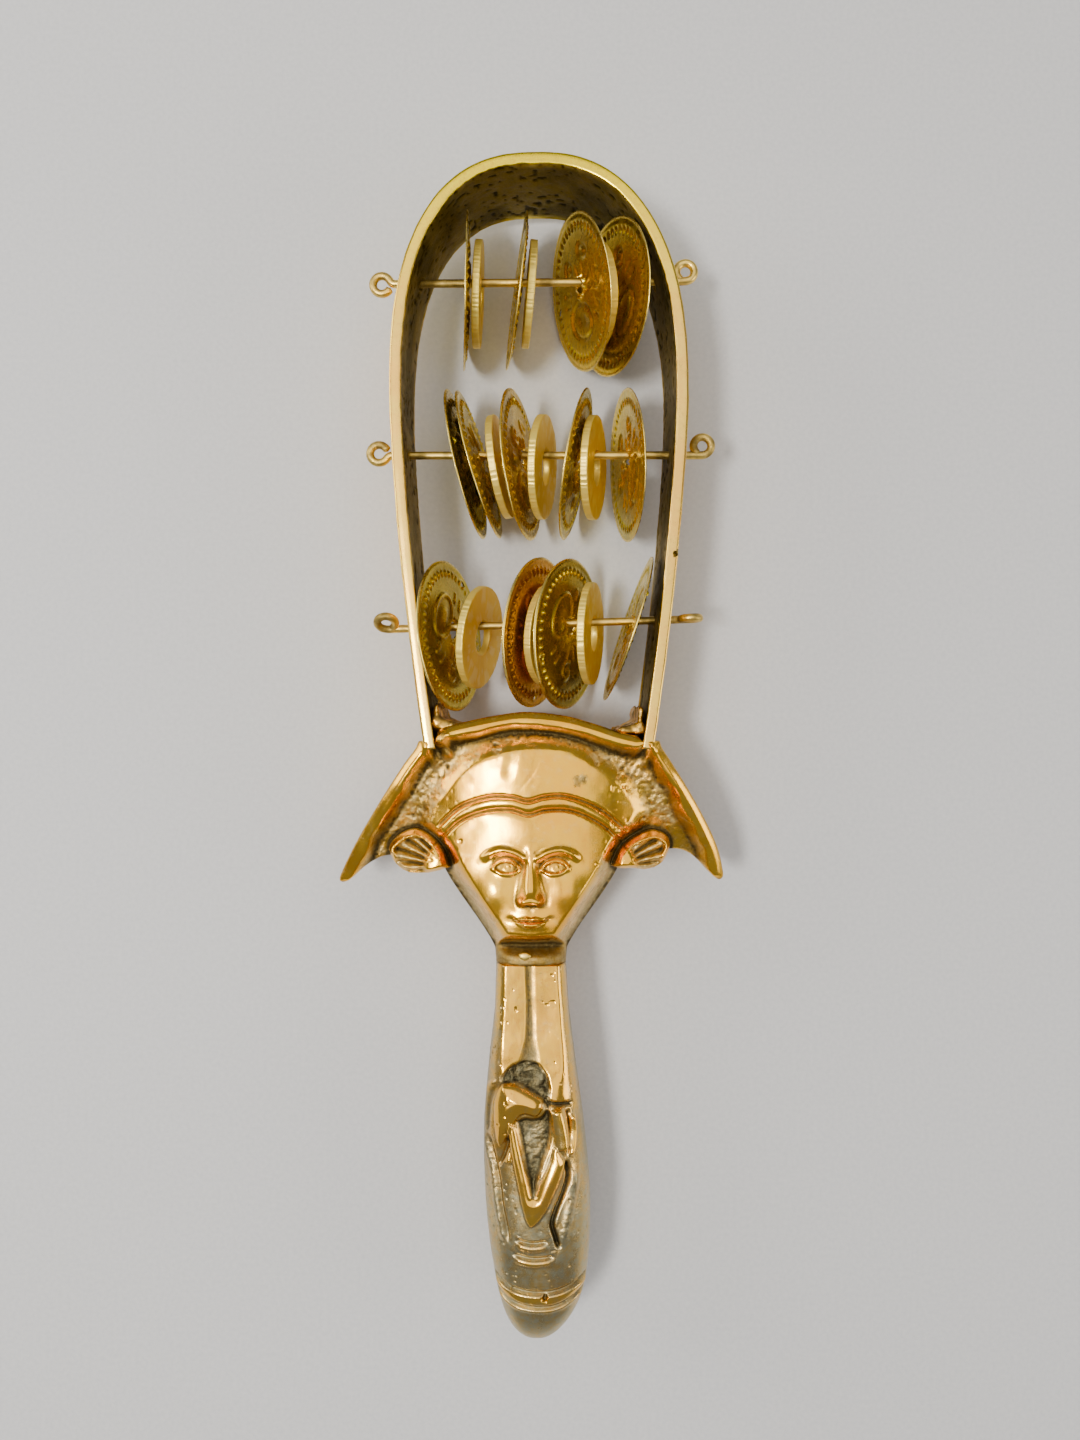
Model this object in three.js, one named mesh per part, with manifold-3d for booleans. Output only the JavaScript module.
// A cast-brass sistrum (a temple rattle) lying on its back.
// Millimetres. +X to the right, +Y towards the top of the hoop, +Z out of the front face.
// The origin is the bottom centre of the whole object's box, so z = 0 is the surface it lies on.
import * as THREE from "three";
import { mergeVertices } from "three/addons/utils/BufferGeometryUtils.js";
import Module from "manifold-3d";

const wasm = await Module();
wasm.setup();

// ---------------------------------------------------------------- driving dimensions

const MID = 18.6; // height of the object's middle plane above the surface it lies on
const GAP = 0.3; // clearance between pieces that touch

const HOOP = {
  x: 1.9, // the hoop sits a little right of the head
  top: 140.4,
  widest: 85.3, // height at which the hoop is widest
  halfWidth: 34.7,
  roundness: { left: 2.5, right: 2.35 }, // powers of the crown's superellipse
  foot: 4.6,
  footHalfWidth: 26.9,
  taperPower: 1.5,
  wall: 3,
  depth: 28,
  rodHoleRadius: 1.65,
};

const WIRE_RADIUS = 1.03;
const RING_RADIUS = 2.25; // centre line of the eye at each end of a rod

const DISC = { radius: 18.3, hole: 3.7, thickness: 0.5, dome: 0.7, segments: 22, drop: 2 };
const WASHER = { radius: 12.5, hole: 4.2, thickness: 2, segments: 24, drop: 2.55 };

const HEAD = { tipX: 46.4, tipY: -30, noseReach: 18.6, neckY: -48.7 };
const EAR = { x: 28.2, y: -23.2, length: 7, width: 5.6, reach: 10.6 };
const TENON = { radius: 4.4, length: 12 };
const PIN = { x: -1.4, y: -46.4, radius: 1.1, halfLength: 9 };

// How far round the wire is bent, how much the bend thins it, how far the rod reaches in; its facets.
const EYE = { sweepDeg: 298, thinning: 0.95, overlap: 0.45, rings: 16, sides: 8 };
const DRILL = { left: -45, right: 48, halfDepth: 30 }; // reach of the tools that cut the holes

const BRASS = {
  cast: 0xc59a4a,
  handle: 0x9c8748,
  wire: 0xb08f45,
  disc: 0x86722a,
  washer: 0xc8ad48,
  braze: 0xcaa65a,
};

// Each rod: the height where it crosses x = 0, its slope, and the eye at each end.
// An eye has its centre at x, lifted off the rod's line, and its ring rolled about the rod.
// Each jingle: kind, place along the rod, turn about the hoop's height, lean in the hoop's plane,
// and, where they aren't zero, how far it sits above the middle plane and how far off centre
// its hole was punched.
const ROWS = [
  {
    name: "top",
    y: 115.1,
    slopeDeg: -0.2,
    left: { x: -36.3, lift: -0.2, rollDeg: 0 },
    right: { x: 37.5, lift: 3.2, rollDeg: 0 },
    jingles: [
      ["disc", -15.4, -4, -1.4],
      ["washer", -12.9, -1, -2.4],
      ["disc", -3.1, -6, -6.6],
      ["washer", -0.4, -3.5, -4.4],
      ["disc", 12.5, -18, 11],
      ["washer", 15.5, -18, 8],
      ["disc", 20.3, -23.5, 4, 1.2, 1.7],
    ],
  },
  {
    name: "middle",
    y: 73.2,
    slopeDeg: -0.5,
    left: { x: -37, lift: 0.4, rollDeg: 0 },
    right: { x: 41.6, lift: 3, rollDeg: 0 },
    jingles: [
      ["disc", -15.3, 7, 12.1],
      ["disc", -12.1, 7, 14.8],
      ["washer", -7.4, 9, 8],
      ["disc", -1.9, 13.5, 5.4],
      ["washer", 2.8, 12.5, -3.6],
      ["disc", 11.4, 8, -11],
      ["washer", 15.2, 13.5, -3.2],
      ["disc", 23.8, -8.5, 3],
    ],
  },
  {
    name: "lower",
    y: 32.3,
    slopeDeg: 2.1,
    left: { x: -34.9, lift: 2.6, rollDeg: 50 },
    right: { x: 38.4, lift: 2.2, rollDeg: 90 },
    jingles: [
      ["disc", -19, 20, 4.5, 1.1],
      ["washer", -12.5, 19, -7.8],
      ["disc", 1.9, 25, -6.8],
      ["washer", 4.4, 25, -6],
      ["disc", 9.5, 27, -5, 0, 0.6],
      ["washer", 14.5, 14, -2],
      ["disc", 24, -2, -18],
    ],
  },
];

// ---------------------------------------------------------------- solids

const radians = THREE.MathUtils.degToRad;

function toSolid(geometry) {
  const bare = new THREE.BufferGeometry();
  const source = geometry.index ? geometry.toNonIndexed() : geometry;
  bare.setAttribute("position", source.getAttribute("position"));
  const merged = mergeVertices(bare, 1e-4);
  return new wasm.Manifold(
    new wasm.Mesh({
      numProp: 3,
      vertProperties: merged.attributes.position.array,
      triVerts: new Uint32Array(merged.index.array),
    }),
  );
}

function toGeometry(solid) {
  const mesh = solid.getMesh();
  const geometry = new THREE.BufferGeometry();
  geometry.setAttribute("position", new THREE.BufferAttribute(mesh.vertProperties, 3));
  geometry.setIndex(new THREE.BufferAttribute(mesh.triVerts, 1));
  geometry.computeVertexNormals();
  return geometry;
}

// Smooth value at y through the stations [y, value, ...], which run downwards.
function along(stations, column, y) {
  const from = stations.findIndex((station, i) => i > 0 && station[0] <= y);
  const high = stations[from < 0 ? stations.length - 2 : from - 1];
  const low = stations[from < 0 ? stations.length - 1 : from];
  const share = THREE.MathUtils.smoothstep(y, low[0], high[0]);
  return THREE.MathUtils.lerp(low[column], high[column], share);
}

// A closed body stacked along Y from unit rings, each ring reshaped by section(y, cosine, sine),
// which gives x and the height above the middle plane.
function stackedBody(heights, segments, section) {
  const profile = heights.map((y) => new THREE.Vector2(1, y));
  profile.unshift(new THREE.Vector2(0, heights[0]));
  profile.push(new THREE.Vector2(0, heights[heights.length - 1]));
  const geometry = new THREE.LatheGeometry(profile, segments);
  const position = geometry.getAttribute("position");
  for (let i = 0; i < position.count; i++) {
    const cosine = position.getX(i);
    const sine = position.getZ(i);
    const y = position.getY(i);
    const onAxis = Math.hypot(cosine, sine) < 0.5;
    const [x, z] = onAxis ? [section(y, 0, 1)[0], 0] : section(y, cosine, sine);
    position.setXYZ(i, x, y, MID + z);
  }
  return toSolid(geometry);
}

function cylinderBetween(from, to, radius, segments) {
  const axis = new THREE.Vector3().subVectors(to, from);
  const geometry = new THREE.CylinderGeometry(radius, radius, axis.length(), segments);
  const up = new THREE.Vector3(0, 1, 0);
  geometry.applyQuaternion(new THREE.Quaternion().setFromUnitVectors(up, axis.normalize()));
  geometry.translate((from.x + to.x) / 2, (from.y + to.y) / 2, (from.z + to.z) / 2);
  return toSolid(geometry);
}

function slab(shape, depth, curveSegments = 8) {
  const geometry = new THREE.ExtrudeGeometry(shape, { depth, bevelEnabled: false, curveSegments });
  geometry.translate(0, 0, MID - depth / 2);
  return toSolid(geometry);
}

// ---------------------------------------------------------------- hoop

// Outer line of the hoop from the left foot over the crown to the right foot.
function hoopLine() {
  const points = [];
  const legSteps = 7;
  const crownSteps = 28;
  for (let i = 0; i < legSteps; i++) {
    const y = THREE.MathUtils.lerp(HOOP.foot, HOOP.widest, i / legSteps);
    const drop = (HOOP.widest - y) / (HOOP.widest - HOOP.foot);
    points.push(new THREE.Vector2(-hoopHalfWidth(drop), y));
  }
  for (let i = 0; i <= crownSteps; i++) {
    const angle = Math.PI - (Math.PI * i) / crownSteps;
    const cosine = Math.cos(angle);
    const roundness = cosine < 0 ? HOOP.roundness.left : HOOP.roundness.right;
    const x = Math.sign(cosine) * Math.abs(cosine) ** (2 / roundness);
    const y = Math.abs(Math.sin(angle)) ** (2 / roundness);
    points.push(new THREE.Vector2(x * HOOP.halfWidth, HOOP.widest + y * (HOOP.top - HOOP.widest)));
  }
  const leftLeg = points.slice(0, legSteps).reverse();
  leftLeg.forEach((point) => points.push(new THREE.Vector2(-point.x, point.y)));
  return points;
}

function hoopHalfWidth(drop) {
  return HOOP.halfWidth - (HOOP.halfWidth - HOOP.footHalfWidth) * drop ** HOOP.taperPower;
}

// The hoop's line moved inwards by a distance, with its feet kept level.
function inset(line, distance) {
  return line.map((point, i) => {
    const before = line[Math.max(i - 1, 0)];
    const after = line[Math.min(i + 1, line.length - 1)];
    const tangent = new THREE.Vector2().subVectors(after, before).normalize();
    const inward = new THREE.Vector2(tangent.y, -tangent.x);
    if (i === 0 || i === line.length - 1) {
      inward.set(Math.sign(-point.x), 0);
    }
    return point.clone().addScaledVector(inward, distance);
  });
}

function rodPoint(row, x) {
  return new THREE.Vector3(x, row.y + x * Math.tan(radians(row.slopeDeg)), MID);
}

function makeHoop() {
  const outer = hoopLine();
  const inner = inset(outer, HOOP.wall);
  const line = outer.concat(inner.reverse());
  line.forEach((point) => (point.x += HOOP.x));
  let solid = slab(new THREE.Shape(line), HOOP.depth);
  for (const row of ROWS) {
    const from = rodPoint(row, DRILL.left);
    const to = rodPoint(row, DRILL.right);
    solid = solid.subtract(cylinderBetween(from, to, HOOP.rodHoleRadius, 12));
  }
  return solid;
}

// ---------------------------------------------------------------- head

// Stations down the head: y, half thickness at the middle, half width of the lens.
const HEAD_STATIONS = [
  [12, 13.4, 84],
  [3, 14.2, 84],
  [-6, 14.6, 64],
  [-16, 15.4, 51],
  [-24, 14.6, 50],
  [-33, 14.2, 50],
  [-40, 12.6, 50],
  [-45.5, 9.6, 44],
  [HEAD.neckY, 8.8, 40],
];

// Heights of the rings that the head is built from.
const HEAD_RINGS = [
  ...[HEAD.neckY, -45.5, -43, -40, -37, -33, -28, -24],
  ...[-20, -16, -11, -6, -2, 3, 8, 12],
];

function headSection(y, cosine, sine) {
  const reach = Math.abs(cosine);
  const waist = THREE.MathUtils.smoothstep(-y, 2, 20);
  const pinch = 1 - 0.4 * waist * THREE.MathUtils.smoothstep(reach, 0.3, 0.7);
  return [cosine * along(HEAD_STATIONS, 2, y), sine * along(HEAD_STATIONS, 1, y) * pinch];
}

// Front outline: the bar under the hoop, a drooping horn each side, and the face's taper.
function headOutline() {
  const barLeft = HOOP.x - HOOP.footHalfWidth + HOOP.wall + GAP;
  const barRight = HOOP.x + HOOP.footHalfWidth - HOOP.wall - GAP;
  const ledge = HOOP.foot - GAP;
  const shape = new THREE.Shape();
  shape.moveTo(barLeft, ledge);
  shape.lineTo(HOOP.x - HOOP.footHalfWidth - 0.9, ledge);
  shape.quadraticCurveTo(-37.5, -12, -HEAD.tipX, HEAD.tipY + 1.4);
  shape.lineTo(1.2 - HEAD.tipX, HEAD.tipY);
  shape.quadraticCurveTo(-40.5, -24.6, -34, -22.5);
  shape.lineTo(-22, -23.5);
  shape.bezierCurveTo(-19.4, -31.5, -12, -38.5, -8.5, HEAD.neckY + 3);
  shape.lineTo(-8.5, HEAD.neckY);
  shape.lineTo(8.5, HEAD.neckY);
  shape.lineTo(8.5, HEAD.neckY + 3);
  shape.bezierCurveTo(12, -38.5, 19.4, -31.5, 22, -23.5);
  shape.lineTo(34, -22.5);
  shape.quadraticCurveTo(40.5, -24, HEAD.tipX - 1.2, HEAD.tipY + 0.6);
  shape.lineTo(HEAD.tipX, HEAD.tipY + 2);
  shape.quadraticCurveTo(40.5, -12, HOOP.x + HOOP.footHalfWidth + 1.3, ledge);
  shape.lineTo(barRight, ledge);
  shape.lineTo(barRight, 5.6);
  shape.quadraticCurveTo(HOOP.x - 2, 16.6, barLeft, 6.4);
  return shape;
}

// A nose wedge: a four-sided cone lying along the face, widest at its base.
function makeNose(side) {
  const geometry = new THREE.CylinderGeometry(0.9, 3.4, 12, 10);
  geometry.scale(1, 1, 1.4);
  geometry.rotateX(side * radians(-8));
  geometry.translate(0, -28.2, MID + side * (HEAD.noseReach - 5.6));
  return toSolid(geometry);
}

function makeEar(side) {
  const geometry = new THREE.SphereGeometry(1, 14, 8);
  geometry.rotateZ(Math.PI / 2);
  geometry.scale(EAR.length, EAR.width, EAR.reach);
  geometry.rotateZ(side * radians(4));
  geometry.translate(side * EAR.x, EAR.y, MID);
  return toSolid(geometry);
}

function makeHead() {
  let solid = stackedBody(HEAD_RINGS, 36, headSection).intersect(slab(headOutline(), 60, 6));
  for (const side of [-1, 1]) {
    solid = solid.add(makeEar(side)).add(makeNose(side));
  }
  const socketTop = new THREE.Vector3(0, HEAD.neckY + TENON.length + GAP, MID);
  const socketMouth = new THREE.Vector3(0, HEAD.neckY - 2, MID);
  solid = solid.subtract(cylinderBetween(socketMouth, socketTop, TENON.radius + GAP, 16));
  return solid.subtract(pinSolid(PIN.radius + GAP, DRILL.halfDepth));
}

function pinSolid(radius, halfLength) {
  const back = new THREE.Vector3(PIN.x, PIN.y, MID - halfLength);
  const front = new THREE.Vector3(PIN.x, PIN.y, MID + halfLength);
  return cylinderBetween(back, front, radius, 12);
}

// ---------------------------------------------------------------- handle

// Stations down the handle: y, half width, half thickness, sideways offset of the middle.
const HANDLE_STATIONS = [
  [HEAD.neckY - GAP, 8.4, 8.2, 0],
  [-60, 9, 8.6, 0.2],
  [-73, 10.5, 9.6, 0.3],
  [-88, 12.1, 10.7, 0.7],
  [-103, 12.7, 11, 1.5],
  [-115, 12.2, 10.7, 2],
  [-124, 11.1, 9.9, 2.3],
  [-129.5, 9.8, 8.9, 2.2],
  [-133.5, 8.2, 7.6, 1.9],
  [-137, 5.9, 5.6, 1.6],
  [-139.4, 3.4, 3.3, 1.4],
  [-140.4, 0.8, 0.9, 1.4],
];

function handleSection(y, cosine, sine) {
  const power = 2 / 2.5;
  const x = Math.sign(cosine) * Math.abs(cosine) ** power;
  const z = Math.sign(sine) * Math.abs(sine) ** power;
  const [halfWidth, halfDepth, offset] = [1, 2, 3].map((i) => along(HANDLE_STATIONS, i, y));
  return [offset + x * halfWidth, z * halfDepth];
}

function makeHandle() {
  const heights = HANDLE_STATIONS.map((station) => station[0]).reverse();
  const body = stackedBody(heights, 28, handleSection);
  const root = new THREE.Vector3(0, HEAD.neckY - 4, MID);
  const end = new THREE.Vector3(0, HEAD.neckY + TENON.length, MID);
  const tenon = cylinderBetween(root, end, TENON.radius, 16);
  return body.add(tenon).subtract(pinSolid(PIN.radius + GAP, DRILL.halfDepth));
}

// ---------------------------------------------------------------- brazed corners

// A concave fillet between a leg's inner face and the bar.
function makeBraze(side) {
  const corner = HOOP.x + side * (HOOP.footHalfWidth - HOOP.wall - 0.75);
  const base = side < 0 ? 7.9 : 7.2;
  const shape = new THREE.Shape();
  shape.moveTo(corner, base);
  shape.lineTo(corner + side * 0.28, base + 4.6);
  shape.quadraticCurveTo(corner - side * 1.3, base + 2.1, corner - side * 3.4, base + 1.75);
  shape.lineTo(corner - side * 3.2, base + 1.15);
  return slab(shape, 24, 5);
}

// ---------------------------------------------------------------- rods

function ringCurve(centre, toRod, up, startAngle, sweep) {
  const points = [];
  const steps = 24;
  for (let i = 0; i <= steps; i++) {
    const angle = startAngle + (sweep * i) / steps;
    const point = centre.clone();
    point.addScaledVector(toRod, Math.cos(angle) * RING_RADIUS);
    point.addScaledVector(up, Math.sin(angle) * RING_RADIUS);
    points.push(point);
  }
  return new THREE.CatmullRomCurve3(points);
}

function wireSection(radius, sides) {
  const section = new THREE.Shape();
  for (let i = 0; i < sides; i++) {
    const angle = (2 * Math.PI * i) / sides;
    section.lineTo(radius * Math.cos(angle), radius * Math.sin(angle));
  }
  return section;
}

// The eye bent into a rod's end. side is -1 at the left end and 1 at the right.
function makeEye(row, eye, side) {
  const slope = radians(row.slopeDeg);
  const axis = new THREE.Vector3(Math.cos(slope), Math.sin(slope), 0);
  const across = new THREE.Vector3(-axis.y, axis.x, 0);
  const roll = radians(eye.rollDeg);
  const up = across.clone().multiplyScalar(Math.cos(roll));
  up.z = Math.sin(roll);
  const centre = rodPoint(row, eye.x).addScaledVector(up, eye.lift);
  const toRod = axis.clone().multiplyScalar(-side);
  const start = -Math.asin(THREE.MathUtils.clamp(eye.lift / RING_RADIUS, -1, 1));
  const sweep = radians(EYE.sweepDeg) * (eye.lift < 0 ? 1 : -1);
  const path = ringCurve(centre, toRod, up, start, sweep);
  const settings = { steps: EYE.rings, bevelEnabled: false, extrudePath: path };
  return toSolid(new THREE.ExtrudeGeometry(wireSection(WIRE_RADIUS * EYE.thinning, EYE.sides), settings));
}

// The straight wire reaches a little into each eye, so that no two end faces lie in one plane.
function makeRod(row) {
  const ends = [-1, 1].map((side) => {
    const eye = side < 0 ? row.left : row.right;
    const lifted = Math.min(Math.abs(eye.lift) / RING_RADIUS, 1);
    const back = RING_RADIUS * Math.sqrt(1 - lifted ** 2) - EYE.overlap;
    return rodPoint(row, eye.x - side * back);
  });
  return cylinderBetween(ends[0], ends[1], WIRE_RADIUS, 12)
    .add(makeEye(row, row.left, -1))
    .add(makeEye(row, row.right, 1));
}

// ---------------------------------------------------------------- jingles

// A thin domed disc whose axis is X, with its hole punched a little above its centre.
function discGeometry(offCentre) {
  const { radius, hole, thickness, dome, segments } = DISC;
  const rise = (r) => dome * (1 - (r / radius) ** 2) - dome / 2;
  const middle = (hole + radius) / 2;
  const profile = [hole, middle, radius].map((r) => new THREE.Vector2(r, rise(r) - thickness / 2));
  const face = [radius, middle, hole].map((r) => new THREE.Vector2(r, rise(r) + thickness / 2));
  const geometry = new THREE.LatheGeometry(profile.concat(face, profile[0].clone()), segments);
  const position = geometry.getAttribute("position");
  for (let i = 0; i < position.count; i++) {
    const x = position.getX(i);
    const isRim = Math.hypot(x, position.getZ(i)) < hole + 0.1;
    position.setX(i, isRim ? x - offCentre : x);
  }
  return geometry.rotateZ(-Math.PI / 2);
}

function washerGeometry() {
  const { radius, hole, thickness, segments } = WASHER;
  const half = thickness / 2;
  const profile = [
    new THREE.Vector2(hole, -half),
    new THREE.Vector2(radius, -half),
    new THREE.Vector2(radius, half),
    new THREE.Vector2(hole, half),
    new THREE.Vector2(hole, -half),
  ];
  return new THREE.LatheGeometry(profile, segments).rotateZ(-Math.PI / 2);
}

function placeJingle(mesh, row, drop, [, x, turnDeg, leanDeg, raise = 0]) {
  mesh.position.copy(rodPoint(row, x));
  mesh.position.y -= drop;
  mesh.position.z += raise;
  mesh.rotation.order = "ZYX";
  mesh.rotation.set(0, radians(-turnDeg), radians(leanDeg));
}

// ---------------------------------------------------------------- the whole object

const group = new THREE.Group();

function brass(color, roughness) {
  return new THREE.MeshStandardMaterial({ color, roughness, metalness: 1 });
}

function addMesh(name, geometry, material) {
  const mesh = new THREE.Mesh(geometry, material);
  mesh.name = name;
  group.add(mesh);
  return mesh;
}

addMesh("hoop", toGeometry(makeHoop()), brass(BRASS.cast, 0.3));
addMesh("head", toGeometry(makeHead()), brass(BRASS.cast, 0.25));
addMesh("handle", toGeometry(makeHandle()), brass(BRASS.handle, 0.3));
addMesh("neck_pin", toGeometry(pinSolid(PIN.radius, PIN.halfLength)), brass(BRASS.wire, 0.4));
addMesh("braze_left", toGeometry(makeBraze(-1)), brass(BRASS.braze, 0.5));
addMesh("braze_right", toGeometry(makeBraze(1)), brass(BRASS.braze, 0.5));

const discBrass = brass(BRASS.disc, 0.4);
const washerBrass = brass(BRASS.washer, 0.45);
const wireBrass = brass(BRASS.wire, 0.4);

for (const row of ROWS) {
  addMesh(`rod_${row.name}`, toGeometry(makeRod(row)), wireBrass);
  const made = { disc: 0, washer: 0 };
  for (const jingle of row.jingles) {
    const kind = jingle[0];
    made[kind] += 1;
    const isDisc = kind === "disc";
    const offCentre = jingle[5] ?? 0;
    const mesh = addMesh(
      `${kind}_${row.name}_${made[kind]}`,
      isDisc ? discGeometry(offCentre) : washerGeometry(),
      isDisc ? discBrass : washerBrass,
    );
    placeJingle(mesh, row, isDisc ? DISC.drop + offCentre : WASHER.drop, jingle);
  }
}

export default group;
